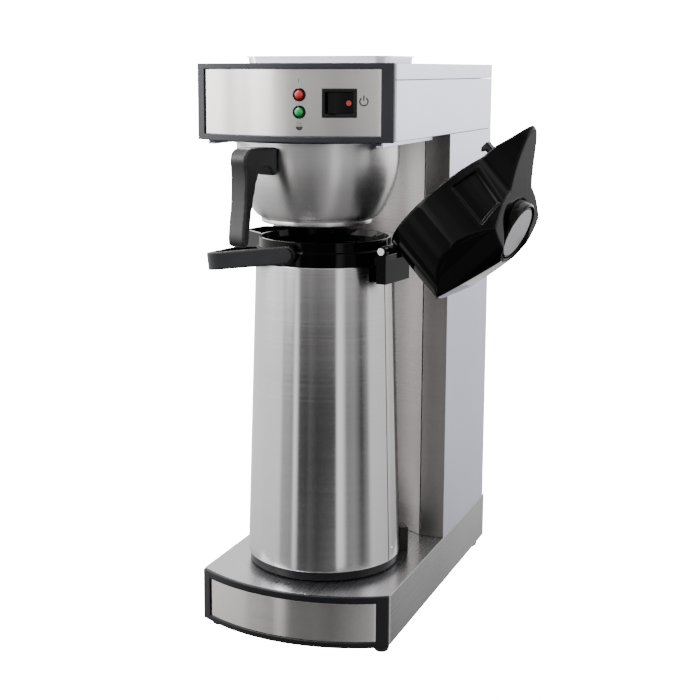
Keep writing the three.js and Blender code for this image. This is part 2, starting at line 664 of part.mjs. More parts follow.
function buildHinge(pot) {
  const { out, z } = HINGE;
  const earInner = KNUCKLE.half + GAP;
  const earOuter = earInner + KNUCKLE.earThickness;
  const web = box(71.2, 81.5, -earOuter, earOuter, 357, 380);
  const foot = box(69.3, 76, -earOuter, earOuter, 375, 383.4);
  const hollowBehind = rod(COLLAR.radius + GAP, 340, 400, 72);
  const parts = [web, foot];
  for (const [y0, y1] of [[earInner, earOuter], [-earOuter, -earInner]]) {
    parts.push(box(71.8, 81.5, y0, y1, 375, z));
    parts.push(alongY(rod(KNUCKLE.radius, y0, y1, 28)).translate(out, 0, z));
  }
  const bore = alongY(rod(KNUCKLE.bore, -50, 50, 24)).translate(out, 0, z);
  const knuckleRoom = alongY(rod(KNUCKLE.radius + 1, -earInner, earInner, 20)).translate(out, 0, z);
  add(pot, "hinge_bracket", cut(joined(...parts), bore, knuckleRoom, hollowBehind), materials.glossPlastic);

  const pin = [[0, -earOuter - 2], [3.6, -earOuter - 2], [3.6, -earOuter - GAP], [2, -earOuter - GAP],
    [2, earOuter + 1], [0, earOuter + 1]];
  add(pot, "hinge_pin", alongY(turned(pin, 24)).translate(out, 0, z), materials.polishedSteel);
}

function buildBail(pot) {
  const hang = group(pot, { at: [0, 0, BAIL.z], turnY: BAIL.droop });
  const half = BAIL.height / 2;
  const [outerSide, innerSide] = [BAIL.side + BAIL.thickness / 2, BAIL.side - BAIL.thickness / 2];
  const loopShape = (side, reach, corner) => {
    const shape = new THREE.Shape();
    shape.moveTo(0, side);
    shape.lineTo(-reach + corner, side);
    shape.absarc(-reach + corner, side - corner, corner, Math.PI / 2, Math.PI);
    shape.lineTo(-reach, -side + corner);
    shape.absarc(-reach + corner, -side + corner, corner, Math.PI, 1.5 * Math.PI);
    shape.lineTo(0, -side);
    return shape;
  };
  const outer = loopShape(outerSide, BAIL.reach, 24);
  const inner = loopShape(innerSide, BAIL.reach - BAIL.thickness, 19);
  const mouth = box(-1, 1, -innerSide, innerSide, -20, 20);
  const strap = cut(plate(outer, -half, half), plate(inner, -20, 20), mouth);
  const bosses = [-1, 1].map((sign) =>
    alongY(rod(half, -BAIL.thickness / 2, BAIL.thickness / 2, 28)).translate(0, sign * BAIL.side, 0));
  const bores = alongY(rod(4.3, -120, 120, 24));
  add(hang, "bail_handle", cut(joined(strap, ...bosses), bores), materials.handlePlastic);
}

// ---------------------------------------------------------------- lid
// Drawn closed: the hinge axis is the origin, the spout points along -X, the rim plane is Z = 0.

const lidRound = (inset) => {
  const shape = new THREE.Shape();
  shape.absarc(-HINGE.out, 0, LID.radius - inset, 0, 2 * Math.PI);
  return shape;
};

function spoutPlan(inset) {
  const shape = new THREE.Shape();
  shape.moveTo(-95, 34 - inset);
  shape.quadraticCurveTo(-150, 29 - inset, -176 + inset, 15 - inset);
  shape.quadraticCurveTo(-186 + inset, 9, -186 + inset, 0);
  shape.quadraticCurveTo(-186 + inset, -9, -176 + inset, -15 + inset);
  shape.quadraticCurveTo(-150, -29 + inset, -95, -34 + inset);
  shape.closePath();
  return shape;
}

// The lid seen from the side, as height over distance from the hinge.
function lidSide(drop) {
  const shape = new THREE.Shape();
  shape.moveTo(0, -1);
  shape.lineTo(0, 67 - drop);
  shape.quadraticCurveTo(-40, 77 - drop, -90, 83 - drop);
  shape.lineTo(-96, 82 - drop);
  shape.lineTo(-134, 47 - drop);
  shape.quadraticCurveTo(-150, 31 - drop, -186, 9 - drop);
  shape.lineTo(-186, 5 - drop);
  shape.quadraticCurveTo(-165, 4 - drop, -150, -1);
  shape.closePath();
  return shape;
}

// The lid seen from the front: a flat side up to the ridge, then a dome.
function lidFront(drop) {
  const shape = new THREE.Shape();
  shape.moveTo(-75, -1);
  shape.lineTo(-75, LID.ridge - 4 - drop);
  shape.lineTo(-66, LID.ridge - drop);
  shape.quadraticCurveTo(-44, 79 - drop, 0, 86 - drop);
  shape.quadraticCurveTo(44, 79 - drop, 66, LID.ridge - drop);
  shape.lineTo(75, LID.ridge - 4 - drop);
  shape.lineTo(75, -1);
  shape.closePath();
  return shape;
}

function lidBlock(inset, bottom) {
  const side = plate(lidSide(inset), 0, 200, 6).rotateX(Math.PI / 2).translate(0, 100, 0);
  const front = plate(lidFront(inset), 0, 220, 6).rotateX(Math.PI / 2).rotateZ(Math.PI / 2);
  front.translate(-210, 0, 0);
  const barrel = plate(lidRound(inset), bottom, 100, 24);
  return common(joined(barrel, plate(spoutPlan(inset), bottom, 100, 6)), side, front);
}

function buildLid(pot) {
  const lid = group(pot, { at: [HINGE.out, 0, HINGE.z], turnY: HINGE.open });
  const press = group(lid, { at: [-BUTTON.along, 0, BUTTON.height], turnY: -BUTTON.tilt });
  const wellRadius = BUTTON.radius + 0.6;
  const ringOuter = BUTTON.radius + 3.4;
  const well = placedLike(press, rod(ringOuter + GAP, -12, 40, 32));
  const throat = placedLike(press, rod(wellRadius, -60, 40, 32));
  const wall = ring(ringOuter + GAP, ringOuter + 2.5, -15, 30, 32);
  const cup = joined(wall, ring(wellRadius, ringOuter + 1, -15, -12, 32));
  const seat = placedLike(press, cup);
  const shell = common(joined(cut(lidBlock(0, 0.5), lidBlock(LID.wall, -2)), seat), lidBlock(0, 0.5));
  const lug = joined(box(-10.5, 0, -KNUCKLE.half, KNUCKLE.half, 0.6, 5),
    alongY(rod(KNUCKLE.radius, -KNUCKLE.half, KNUCKLE.half, 28)));
  const bore = alongY(rod(KNUCKLE.bore, -40, 40, 24));
  add(lid, "lid_shell", cut(joined(shell, lug), bore, well, throat), materials.glossPlastic);
  buildLidInside(lid);
  buildButton(press, wellRadius, ringOuter);
}

const BELLOWS = { along: 90, radius: 33, bottom: 7.6, top: 28 };

function buildLidInside(lid) {
  const centre = -HINGE.out;
  const disc = LID.radius - LID.wall - 2;
  add(lid, "lid_underside",
    turned([[6, 4.2], [disc, 4.2], [disc, 5.6], [30, 7.2], [6, 7.2], [6, 4.2]], 32).translate(centre, 0, 0),
    materials.glossPlastic);
  const folds = 4;
  const pitch = (BELLOWS.top - BELLOWS.bottom) / folds;
  const profile = [[0, BELLOWS.bottom]];
  for (let i = 0; i < folds; i += 1) {
    profile.push([BELLOWS.radius - 4, BELLOWS.bottom + i * pitch]);
    profile.push([BELLOWS.radius, BELLOWS.bottom + (i + 0.5) * pitch]);
  }
  profile.push([BELLOWS.radius - 4, BELLOWS.top], [0, BELLOWS.top]);
  add(lid, "air_bellows", turned(profile, 28).translate(-BELLOWS.along, 0, 0), materials.rubber);

  const hook = new THREE.Shape();
  hook.moveTo(-4.5, 3);
  hook.lineTo(-4.5, -12.5);
  hook.lineTo(3, -12.5);
  hook.lineTo(6, -9.5);
  hook.lineTo(2, -7);
  hook.lineTo(2, 3);
  hook.closePath();
  const latch = new THREE.ExtrudeGeometry(hook, { depth: 9, bevelEnabled: false }).rotateX(Math.PI / 2);
  add(lid, "lid_latch", latch.translate(-139, 4.5, 0.6), materials.glossPlastic);
}

function buildButton(press, wellRadius, ringOuter) {
  add(press, "button_ring",
    turned([
      [wellRadius, -11.5], [ringOuter, -11.5], [ringOuter, 0], [ringOuter - 1.5, 1.8],
      [wellRadius + 0.6, 1.8], [wellRadius, 0.8], [wellRadius, -11.5],
    ], 32), materials.glossPlastic);
  const radius = BUTTON.radius;
  add(press, "push_button",
    turned([
      [0, -3], [radius - 2.5, -3], [radius - 2.5, -17], [radius, -17], [radius, 0.4],
      [radius - 0.9, 1.2], [radius - 1.6, 1.2], [radius - 1.6, -0.6], [0, -0.6],
    ], 32), materials.glossPlastic);
  add(press, "button_disc", rod(radius - 2, -0.3, 0.9, 40), materials.satinDisc);

  const [turns, coilRadius, low, high] = [5, 9, -35, -4.2];
  const coil = [];
  for (let i = 0; i <= turns * 8; i += 1) {
    const angle = i * Math.PI / 4;
    const height = low + (high - low) * i / (turns * 8);
    coil.push([coilRadius * Math.cos(angle), coilRadius * Math.sin(angle), height]);
  }
  add(press, "button_spring", tube(coil, 0.8, { sides: 6, steps: 48 }), materials.polishedSteel);
}

// ---------------------------------------------------------------- assembly

const brewer = new THREE.Group();
const machine = group(brewer);
buildBase(machine);
buildTower(machine);
buildHead(machine);
buildFunnel(machine);
buildAirpot(machine);

// The origin is the middle of the underside of the whole object's box.
brewer.updateMatrixWorld(true);
const bounds = new THREE.Box3().setFromObject(machine, true);
machine.position.set(-(bounds.min.x + bounds.max.x) / 2, -(bounds.min.y + bounds.max.y) / 2, -bounds.min.z);

export default brewer;
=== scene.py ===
"""Looks for a pour-over coffee brewer with a pump airpot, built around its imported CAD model.

Metres, +Z up, the front faces -Y. Every length below is in millimetres where its name ends in _mm.
"""

import math

import bmesh
import bpy
from mathutils import Matrix, Vector


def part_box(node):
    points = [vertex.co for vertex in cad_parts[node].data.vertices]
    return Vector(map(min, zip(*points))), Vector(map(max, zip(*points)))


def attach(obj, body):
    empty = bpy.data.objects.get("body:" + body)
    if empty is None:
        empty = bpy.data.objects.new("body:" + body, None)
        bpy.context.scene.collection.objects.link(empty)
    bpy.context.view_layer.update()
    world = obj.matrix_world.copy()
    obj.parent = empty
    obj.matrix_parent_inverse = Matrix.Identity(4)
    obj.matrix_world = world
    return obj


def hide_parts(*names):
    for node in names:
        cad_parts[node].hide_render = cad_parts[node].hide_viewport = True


MM = 0.001
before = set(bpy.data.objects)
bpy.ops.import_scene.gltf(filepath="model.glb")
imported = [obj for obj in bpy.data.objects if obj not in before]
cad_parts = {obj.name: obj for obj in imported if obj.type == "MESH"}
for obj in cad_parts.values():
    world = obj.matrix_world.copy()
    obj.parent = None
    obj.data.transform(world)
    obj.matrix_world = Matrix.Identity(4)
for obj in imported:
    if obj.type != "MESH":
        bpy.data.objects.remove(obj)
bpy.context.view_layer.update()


# ---------------------------------------------------------------- places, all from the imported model

def middle(node):
    low, high = [Vector(corner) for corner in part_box(node)]
    return (low + high) / 2


HEAD_LOW, HEAD_HIGH = [Vector(corner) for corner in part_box("head_housing")]
CENTRE_X = (HEAD_LOW.x + HEAD_HIGH.x) / 2
HALF_WIDTH = (HEAD_HIGH.x - HEAD_LOW.x) / 2
BOW = 30 * MM
CORNER_Y = HEAD_LOW.y + BOW
BOW_RADIUS = (HALF_WIDTH ** 2 + BOW ** 2) / (2 * BOW)
BOW_CENTRE_Y = HEAD_LOW.y + BOW_RADIUS
PLATE_FACE = 2.8 * MM

POT = middle("airpot_base_ring")
POT_TURN = math.radians(-8)
POT_ALONG = Vector((math.cos(POT_TURN), math.sin(POT_TURN), 0))
POT_ACROSS = Vector((-math.sin(POT_TURN), math.cos(POT_TURN), 0))
FUNNEL = middle("funnel_bowl")

# The airpot's tapered steel side, in mm: its two heights and the radius at each.
POT_LOW, POT_HIGH = 71.4, 373.8
POT_LOW_RADIUS, POT_HIGH_RADIUS = 78.5, 69.7


# ---------------------------------------------------------------- material helpers

class Nodes:
    """A material's node tree, with one short call for each node."""

    def __init__(self, name):
        self.material = bpy.data.materials.new(name)
        self.material.use_nodes = True
        self.tree = self.material.node_tree
        self.shader = self.tree.nodes["Principled BSDF"]

    def put(self, kind, **values):
        node = self.tree.nodes.new(kind)
        for key, value in values.items():
            setattr(node, key, value)
        return node

    def link(self, source, target):
        self.tree.links.new(source, target)

    def place(self, scale):
        """Object coordinates stretched by scale, so a pattern keeps its size in metres."""
        mapping = self.put("ShaderNodeMapping")
        mapping.inputs["Scale"].default_value = scale
        self.link(self.put("ShaderNodeTexCoord").outputs["Object"], mapping.inputs["Vector"])
        return mapping.outputs["Vector"]

    def noise(self, vector, detail=2.0, rough=0.5):
        node = self.put("ShaderNodeTexNoise")
        node.inputs["Scale"].default_value = 1.0
        node.inputs["Detail"].default_value = detail
        node.inputs["Roughness"].default_value = rough
        self.link(vector, node.inputs["Vector"])
        return node.outputs["Fac"]

    def spread(self, source, low, high, start=0.3, end=0.7):
        node = self.put("ShaderNodeMapRange")
        for name, value in (("From Min", start), ("From Max", end), ("To Min", low), ("To Max", high)):
            node.inputs[name].default_value = value
        self.link(source, node.inputs["Value"])
        return node.outputs["Result"]

    def colours(self, source, dark, light):
        ramp = self.put("ShaderNodeValToRGB")
        ramp.color_ramp.elements[0].position = 0.3
        ramp.color_ramp.elements[1].position = 0.7
        ramp.color_ramp.elements[0].color = (*dark, 1)
        ramp.color_ramp.elements[1].color = (*light, 1)
        self.link(source, ramp.inputs["Fac"])
        return ramp.outputs["Color"]

    def bump(self, height, strength, distance):
        node = self.put("ShaderNodeBump")
        node.inputs["Strength"].default_value = strength
        node.inputs["Distance"].default_value = distance
        self.link(height, node.inputs["Height"])
        self.link(node.outputs["Normal"], self.shader.inputs["Normal"])

    def set(self, **values):
        for name, value in values.items():
            self.shader.inputs[name.replace("_", " ")].default_value = value


def brushed(name, dark, light, rough, lines, anisotropic=0.0):
    """Steel with fine drawn lines. lines is the count per metre along X, Y and Z."""
    n = Nodes(name)
    grain = n.noise(n.place(lines), detail=3, rough=0.6)
    handling = n.noise(n.place((6, 6, 6)), detail=3)
    both = n.put("ShaderNodeMath", operation="MULTIPLY_ADD")
    n.link(handling, both.inputs[0])
    both.inputs[1].default_value = 0.5
    half = n.put("ShaderNodeMath", operation="MULTIPLY")
    n.link(grain, half.inputs[0])
    half.inputs[1].default_value = 0.5
    n.link(half.outputs[0], both.inputs[2])
    n.link(n.colours(both.outputs[0], dark, light), n.shader.inputs["Base Color"])
    n.link(n.spread(both.outputs[0], rough - 0.06, rough + 0.07), n.shader.inputs["Roughness"])
    n.bump(grain, 0.03, 0.00008)
    n.set(Metallic=1.0, Anisotropic=anisotropic)
    if anisotropic:
        across = n.put("ShaderNodeVectorTransform", convert_from="OBJECT", convert_to="WORLD")
        across.inputs[0].default_value = (0, 0, 1)
        n.link(across.outputs[0], n.shader.inputs["Tangent"])
    return n.material


def moulded(name, dark, light, rough, grain_mm=0.5, relief=0.1, coat=0.0, specular=0.5):
    """Plastic or rubber: fine grain from the mould, with a slow change of shade and polish."""
    n = Nodes(name)
    per_metre = 1000 / grain_mm
    grain = n.noise(n.place((per_metre,) * 3), detail=2)
    wear = n.noise(n.place((22, 22, 22)), detail=4)
    n.link(n.colours(wear, dark, light), n.shader.inputs["Base Color"])
    n.link(n.spread(wear, rough - 0.03, rough + 0.05), n.shader.inputs["Roughness"])
    n.bump(grain, relief, 0.00005)
    n.set(Metallic=0.0, Coat_Weight=coat, Coat_Roughness=0.03, Specular_IOR_Level=specular)
    return n.material


def lens(name, dark, light, glow):
    n = Nodes(name)
    facets = n.noise(n.place((900, 900, 900)), detail=1)
    n.link(n.colours(facets, dark, light), n.shader.inputs["Base Color"])
    n.link(n.spread(facets, 0.12, 0.25), n.shader.inputs["Roughness"])
    n.bump(facets, 0.25, 0.0003)
    n.set(Coat_Weight=0.6, Coat_Roughness=0.05, Emission_Color=(*light, 1), Emission_Strength=glow)
    return n.material


ALONG_X = (6, 6, 3200)      # lines that run level, on anything upright
ALONG_Y = (2600, 6, 2600)   # lines that run front to back

M = {
    "casing": brushed("casing_satin", (0.64, 0.64, 0.78), (0.69, 0.69, 0.83), 0.34, ALONG_Y),
    "deck": brushed("deck_satin", (0.44, 0.435, 0.445), (0.53, 0.525, 0.535), 0.27, ALONG_Y),
    "panel": brushed("panel_brushed", (0.66, 0.635, 0.615), (0.74, 0.715, 0.695), 0.21, ALONG_X, 0.8),
    # The tower front is a much darker steel than the plates: painted shade for the recess under the head.
    "tower": brushed("tower_brushed_painted_shade", (0.20, 0.187, 0.182), (0.25, 0.237, 0.232), 0.30, ALONG_X, 0.85),
    # The flange steel is darker than the casing: painted shade for the forward-facing step of the tower
    # sides.
    "flange": brushed("flange_brushed_painted_shade", (0.34, 0.325, 0.315), (0.40, 0.385, 0.375), 0.34, ALONG_X, 0.85),
    "pot": brushed("pot_brushed", (0.53, 0.515, 0.525), (0.63, 0.615, 0.625), 0.15, ALONG_X, 0.6),
    "bowl": brushed("bowl_spun", (0.60, 0.585, 0.585), (0.70, 0.685, 0.685), 0.34, ALONG_X, 0.85),
    "bright": brushed("bright_drawn", (0.90, 0.89, 0.87), (0.95, 0.94, 0.92), 0.20, (40, 40, 900)),
    "bezel": moulded("bezel_satin", (0.020, 0.021, 0.027), (0.030, 0.031, 0.039), 0.42, specular=0.3),
    "black": moulded("black_satin", (0.006, 0.006, 0.007), (0.010, 0.010, 0.012), 0.30, specular=0.2),
    "handle": moulded("handle_phenolic", (0.007, 0.007, 0.008), (0.014, 0.014, 0.016), 0.32,
                      grain_mm=0.7, relief=0.16, specular=0.4),
    "gloss": moulded("gloss_black", (0.001, 0.001, 0.001), (0.002, 0.002, 0.002), 0.05,
                     grain_mm=2.5, relief=0.01, specular=0.12),
    "rubber": moulded("soft_rubber", (0.008, 0.008, 0.008), (0.018, 0.018, 0.018), 0.72,
                      grain_mm=0.4, relief=0.3),
    "silicone": moulded("milky_silicone", (0.55, 0.54, 0.50), (0.68, 0.67, 0.63), 0.5),
    "ceramic": moulded("glazed_block", (0.60, 0.58, 0.52), (0.72, 0.70, 0.64), 0.25,
                       grain_mm=1.5, relief=0.05, coat=0.3),
    "ink": moulded("printed_ink", (0.010, 0.010, 0.011), (0.016, 0.016, 0.018), 0.5,
                   grain_mm=0.3, relief=0.05),
    "copper": brushed("copper_dull", (0.42, 0.22, 0.11), (0.58, 0.32, 0.17), 0.36, (300, 300, 60)),
    "disc": brushed("disc_satin", (0.80, 0.80, 0.84), (0.86, 0.86, 0.90), 0.36, (900, 900, 900)),
    "red": lens("red_lens_tint", (0.30, 0.008, 0.010), (0.52, 0.02, 0.022), 0.03),
    "green": lens("green_lens_tint", (0.003, 0.16, 0.032), (0.008, 0.34, 0.07), 0.03),
}


# ---------------------------------------------------------------- mesh helpers

def finish_piece(obj, material, body, nodes=()):
    obj.data.materials.clear()
    obj.data.materials.append(M[material])
    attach(obj, body)
    if nodes:
        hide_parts(*nodes)
    return obj


def new_object(name, mesh):
    obj = bpy.data.objects.new(name, mesh)
    bpy.context.scene.collection.objects.link(obj)
    return obj


def finished(work, name):
    """Turns a mesh's faces outward and makes an object of it."""
    bmesh.ops.recalc_face_normals(work, faces=work.faces)
    mesh = bpy.data.meshes.new(name)
    work.to_mesh(mesh)
    work.free()
    return new_object(name, mesh)


def applied(obj):
    """Makes an object's modifiers part of its mesh."""
    graph = bpy.context.evaluated_depsgraph_get()
    mesh = bpy.data.meshes.new_from_object(obj.evaluated_get(graph))
    obj.modifiers.clear()
    obj.data = mesh
    return obj


def smooth(obj, sharp_degrees=32):
    """Smooth shading in which the large faces keep their own direction and the rounded edges bend."""
    for face in obj.data.polygons:
        face.use_smooth = True
    obj.data.set_sharp_from_angle(angle=math.radians(sharp_degrees))
    level = obj.modifiers.new("level", "WEIGHTED_NORMAL")
    level.keep_sharp = True
    level.weight = 75
    return applied(obj)


def copy_of(node):
    """A copy of a node's mesh with its split corners welded and its flat faces made whole."""
    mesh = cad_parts[node].data.copy()
    work = bmesh.new()
    work.from_mesh(mesh)
    bmesh.ops.remove_doubles(work, verts=work.verts, dist=1e-6)
    bmesh.ops.dissolve_limit(work, angle_limit=math.radians(0.05), verts=work.verts, edges=work.edges)
    bmesh.ops.triangulate(work, faces=[face for face in work.faces if len(face.verts) > 4])
    work.to_mesh(mesh)
    work.free()
    return new_object(node + "_look", mesh)


def eased(node, material, body, edge_mm, sharp_degrees=32):
    """A node's own shape with its sharp edges rounded, as folded sheet and mouldings have."""
    obj = copy_of(node)
    bevel = obj.modifiers.new("edge", "BEVEL")
    bevel.width = edge_mm * MM
    bevel.segments = 2
    bevel.limit_method = "ANGLE"
    bevel.angle_limit = math.radians(35)
    applied(obj)
    smooth(obj, sharp_degrees)
    return finish_piece(obj, material, body, [node])


def turned(name, profile, centre, segments=160):
    """A closed body turned about an upright axis, from (radius, height) pairs in metres."""
    work = bmesh.new()
    rows = []
    for radius, height in profile:
        row = []
        for i in range(segments):
            angle = 2 * math.pi * i / segments
            row.append(work.verts.new((centre.x + radius * math.cos(angle),
                                       centre.y + radius * math.sin(angle), height)))
        rows.append(row)
    for low, high in zip(rows, rows[1:] + rows[:1]):
        for i in range(segments):
            j = (i + 1) % segments
            work.faces.new((low[i], low[j], high[j], high[i]))
    return finished(work, name)


def rounded_melt(node, name, voxel_mm, passes):
    """A node's shape remeshed and relaxed, so every edge rounds off as a moulding's do."""
    obj = copy_of(node)
    obj.name = name
    remesh = obj.modifiers.new("even", "REMESH")
    remesh.mode = "VOXEL"
    remesh.voxel_size = voxel_mm * MM
    relax = obj.modifiers.new("relax", "SMOOTH")
    relax.iterations = passes
    relax.factor = 0.5
    applied(obj)
    for face in obj.data.polygons:
        face.use_smooth = True
    return obj


def bowed_sheet(name, half_mm, low, high, near_mm, far_mm, window_mm=None):
    """A closed strip that follows the bowed front, between two distances from it, with an optional window.

    window_mm is the window's half width, then its low and high edge as heights."""
    columns = 72
    xs = {-half_mm + 2 * half_mm * i / columns for i in range(columns + 1)}
    zs = {low, high}
    if window_mm:
        xs = {x for x in xs if abs(abs(x) - window_mm[0]) > 0.8} | {-window_mm[0], window_mm[0]}
        zs |= {window_mm[1], window_mm[2]}
    xs, zs = sorted(xs), sorted(zs)
    work = bmesh.new()
    points = {}

    def point(i, k, depth):
        if (i, k, depth) not in points:
            radius = BOW_RADIUS + (near_mm, far_mm)[depth] * MM
            turn = math.asin(xs[i] * MM / radius)
            points[i, k, depth] = work.verts.new((CENTRE_X + radius * math.sin(turn),
                                                  BOW_CENTRE_Y - radius * math.cos(turn), zs[k] * MM))
        return points[i, k, depth]

    def filled(i, k):
        if not (0 <= i < len(xs) - 1 and 0 <= k < len(zs) - 1):
            return False
        if not window_mm:
            return True
        inside_x = abs((xs[i] + xs[i + 1]) / 2) < window_mm[0]
        return not (inside_x and window_mm[1] < (zs[k] + zs[k + 1]) / 2 < window_mm[2])

    for i in range(len(xs) - 1):
        for k in range(len(zs) - 1):
            if not filled(i, k):
                continue
            for depth in (0, 1):
                work.faces.new([point(i, k, depth), point(i + 1, k, depth), point(i + 1, k + 1, depth),
                                point(i, k + 1, depth)])
            edges = (((i - 1, k), (i, k), (i, k + 1)), ((i + 1, k), (i + 1, k), (i + 1, k + 1)),
                     ((i, k - 1), (i, k), (i + 1, k)), ((i, k + 1), (i, k + 1), (i + 1, k + 1)))
            for beyond, start, end in edges:
                if not filled(*beyond):
                    work.faces.new([point(*start, 0), point(*end, 0), point(*end, 1), point(*start, 1)])
    return finished(work, name)


def round_edges(obj, edge_mm, segments=3):
    bevel = obj.modifiers.new("edge", "BEVEL")
    bevel.width = edge_mm * MM
    bevel.segments = segments
    bevel.limit_method = "ANGLE"
    bevel.angle_limit = math.radians(35)
    return applied(obj)


def without(obj, *cutters):
    """Cuts holes with other pieces, which are then thrown away."""
    for cutter in cutters:
        hole = obj.modifiers.new("hole", "BOOLEAN")
        hole.operation = "DIFFERENCE"
        hole.solver = "EXACT"
        hole.object = cutter
    applied(obj)
    for cutter in cutters:
        bpy.data.objects.remove(cutter)
    return obj


def front_plug(x_mm, z_mm, half_x_mm, half_z_mm, sides=4):
    """A cutter standing square to the bowed front: a block, or a rod if it has more than four sides."""
    turn = math.asin(x_mm * MM / (BOW_RADIUS + PLATE_FACE))
    work = bmesh.new()
    start = math.pi / 4 if sides == 4 else 0
    grow = math.sqrt(2) if sides == 4 else 1
    place = Matrix.Translation((CENTRE_X + (BOW_RADIUS + PLATE_FACE) * math.sin(turn),
                                BOW_CENTRE_Y - (BOW_RADIUS + PLATE_FACE) * math.cos(turn), z_mm * MM))
    place = place @ Matrix.Rotation(turn, 4, "Z")
    ends = []
    for y in (-10, 10):
        ring = []
        for i in range(sides):
            angle = start + 2 * math.pi * i / sides
            corner = Vector((grow * half_x_mm * math.cos(angle), y, grow * half_z_mm * math.sin(angle))) * MM
            ring.append(work.verts.new(place @ corner))
        ends.append(ring)
    work.faces.new(ends[0])
    work.faces.new(ends[1][::-1])
    for i in range(sides):
        j = (i + 1) % sides
        work.faces.new((ends[0][i], ends[1][i], ends[1][j], ends[0][j]))
    return finished(work, "cutter")


def dressed(node, material):
    """A CAD node that keeps its shape and gets a finish."""
    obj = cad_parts[node]
    obj.data.materials.clear()
    obj.data.materials.append(M[material])


# ---------------------------------------------------------------- camera, light and floor

def set_camera():
    scale = 0.9756      # 200 / 205: the place was worked out for a machine 205 mm wide, and this one is 200
    azimuth, elevation = math.radians(22.44), math.radians(9.57)
    data = bpy.data.cameras.new("camera")
    camera = bpy.data.objects.new("camera", data)
    bpy.context.scene.collection.objects.link(camera)
    ahead = Vector((-math.sin(azimuth) * math.cos(elevation), math.cos(azimuth) * math.cos(elevation),
                    -math.sin(elevation)))
    right = Vector((math.cos(azimuth), math.sin(azimuth), 0))
    turn = Matrix((right, right.cross(ahead), -ahead)).transposed().to_4x4()
    turn.translation = Vector((CENTRE_X + 0.50812 * scale, CORNER_Y - 1.21803 * scale, 0.57483 * scale))
    camera.matrix_world = turn
    data.sensor_width = 36
    data.lens = 70.05
    data.shift_x = 0.0714
    data.shift_y = -0.0714
    data.dof.use_dof = False
    bpy.context.scene.camera = camera


def soft_box(name, place, target, size, power):
    data = bpy.data.lights.new(name, "AREA")
    data.shape = "RECTANGLE"
    data.size, data.size_y = size
    data.energy = power
    obj = bpy.data.objects.new(name, data)
    bpy.context.scene.collection.objects.link(obj)
    obj.location = place
    obj.rotation_euler = (Vector(target) - Vector(place)).to_track_quat("-Z", "Y").to_euler()


def ramp_stops(node, stops):
    """Sets a colour ramp from (position, grey) pairs."""
    elements = node.color_ramp.elements
    while len(elements) > 1:
        elements.remove(elements[-1])
    for i, (position, value) in enumerate(stops):
        element = elements[0] if i == 0 else elements.new(position)
        element.position = position
        element.color = (value, value, value, 1)


# What the studio looks like all round, by compass angle in degrees from +X, as (angle, brightness): the
# floor, the low wall above it and the high wall above that. BY_HEIGHT then multiplies all three, from
# straight down at 0 to straight up at 1.
FLOOR_RING = [(-180, 0.5), (-140, 0.3), (-112, 0.22), (-80, 0.16), (-54, 0.5), (-44, 0.9), (-34, 0.35),
              (-9, 0.30), (4, 0.5), (40, 0.3), (60, 0.03), (76, 0.03), (110, 0.4), (180, 0.5)]
LOW_WALL = [(-180, 1.5), (-142, 1.5), (-137, 0.70), (-119, 0.50), (-116, 2.0), (-112, 1.3), (-109, 0.12),
            (-96, 0.07), (-92, 0.14), (-80, 0.06), (-52, 0.09), (-48, 1.7), (-41, 1.5), (-38, 0.9),
            (-34, 0.36), (-22, 0.45), (-14, 0.22), (-9, 0.06), (2, 0.4), (8, 1.2), (50, 1.1), (60, 0.9),
            (76, 0.9), (92, 1.3), (180, 1.6)]
HIGH_WALL = [(-180, 5.5), (-160, 5.5), (-151, 2.8), (-143, 3.2), (-137, 2.8), (-131, 5.2), (-122, 4.6),
             (-116, 1.0), (-88, 0.9), (-80, 0.8), (-70, 0.9), (-40, 1.4), (-20, 1.1), (0, 1.2), (20, 2.2),
             (68, 3.3), (110, 2.4), (180, 2.4)]
WALL_TOP = 5.5      # the brightest value that any of the three may hold
HORIZON = (-0.072, -0.054)      # a direction's Z where the low wall blends into the high one
FLOOR_EDGE = (-0.44, -0.25)     # and where the floor blends into the low wall
BY_HEIGHT = [(0, 0.5), (0.3, 1), (0.58, 1), (0.68, 0.6), (0.8, 0.5), (0.93, 0.9), (1, 0.9)]
ROOM_WHITE = 22     # bright enough to come out as plain white


def wall(tree, angle, stops):
    ramp = tree.nodes.new("ShaderNodeValToRGB")
    tree.links.new(angle, ramp.inputs["Fac"])
    ramp_stops(ramp, [((degrees + 180) / 360, value / WALL_TOP) for degrees, value in stops])
    return ramp.outputs["Color"]


